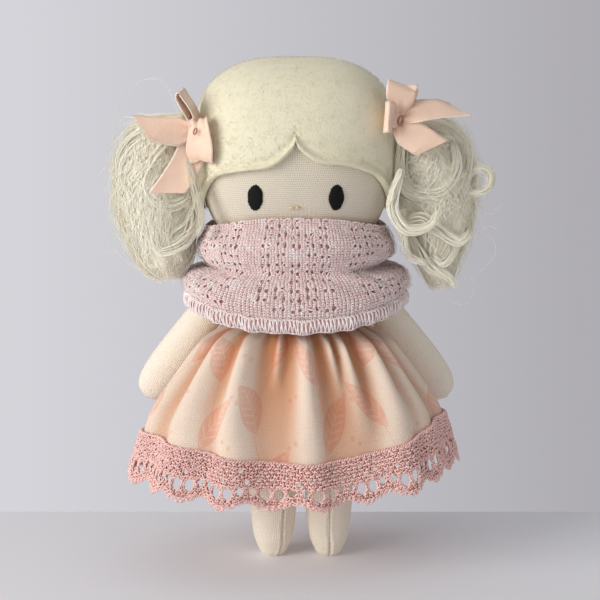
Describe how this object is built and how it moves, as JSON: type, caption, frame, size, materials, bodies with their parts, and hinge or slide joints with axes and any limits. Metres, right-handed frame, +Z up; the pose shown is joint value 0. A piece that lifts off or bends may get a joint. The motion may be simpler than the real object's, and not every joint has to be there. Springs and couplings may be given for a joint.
{
  "type": "cloth doll",
  "caption": "Small sewn cloth doll with felt hair cap, curled pigtails and bows, knitted cowl, gathered skirt with crocheted trim, and swinging arms and legs.",
  "frame": {"origin": "on the floor below the middle of the standing doll's box", "axes": "+Z up through the head, the face towards -Y, the doll's own left hand towards +X"},
  "size_m": [0.1178, 0.071, 0.1653],
  "materials": {
    "linen": "matte",
    "felt": "matte",
    "mohair": "satin",
    "ribbon": "satin",
    "peach_thread": "matte",
    "black_thread": "satin",
    "beige_thread": "matte",
    "knit": "matte",
    "hem_thread": "matte",
    "printed_cotton": "matte",
    "elastic": "matte",
    "crochet_cotton": "matte"
  },
  "bodies": {
    "trunk": {"head": "linen", "torso": "linen", "hair_front": "felt", "hair_back": "felt", "bow_left": "ribbon", "bow_right": "ribbon", "bow_stitch_left": "peach_thread", "bow_stitch_right": "peach_thread", "eye_left": "black_thread", "eye_right": "black_thread", "nose_stitch": "beige_thread", "neck_thread": "beige_thread", "shoulder_thread": "beige_thread", "cowl": "knit", "cowl_hem": "hem_thread", "skirt": "printed_cotton", "waist_elastic": "elastic", "lace_trim": "crochet_cotton"},
    "arm_left": {"arm_left": "linen"},
    "arm_right": {"arm_right": "linen"},
    "leg_left": {"leg_left": "linen"},
    "leg_right": {"leg_right": "linen"},
    "pigtail_left": {"pigtail_left": "mohair"},
    "pigtail_right": {"pigtail_right": "mohair"}
  },
  "joints": [
    {"name": "shoulder_left", "type": "hinge", "parent": "trunk", "child": "arm_left", "pos_m": [-0.0228, 0.005, 0.091], "axis": [1, 0, 0], "range_deg": [-16, 15]},
    {"name": "shoulder_right", "type": "hinge", "parent": "trunk", "child": "arm_right", "pos_m": [0.0228, 0.005, 0.091], "axis": [1, 0, 0], "range_deg": [-16, 15]},
    {"name": "hip_left", "type": "hinge", "parent": "trunk", "child": "leg_left", "pos_m": [-0.0077, 0, 0.0416], "axis": [1, 0, 0], "range_deg": [-38, 35]},
    {"name": "hip_right", "type": "hinge", "parent": "trunk", "child": "leg_right", "pos_m": [0.0109, 0, 0.0416], "axis": [1, 0, 0], "range_deg": [-38, 35]},
    {"name": "pigtail_left", "type": "hinge", "parent": "trunk", "child": "pigtail_left", "pos_m": [-0.0334, 0, 0.147], "axis": [0, 1, 0], "range_deg": [0, 35]},
    {"name": "pigtail_right", "type": "hinge", "parent": "trunk", "child": "pigtail_right", "pos_m": [0.0334, 0, 0.147], "axis": [0, -1, 0], "range_deg": [0, 35]}
  ]
}
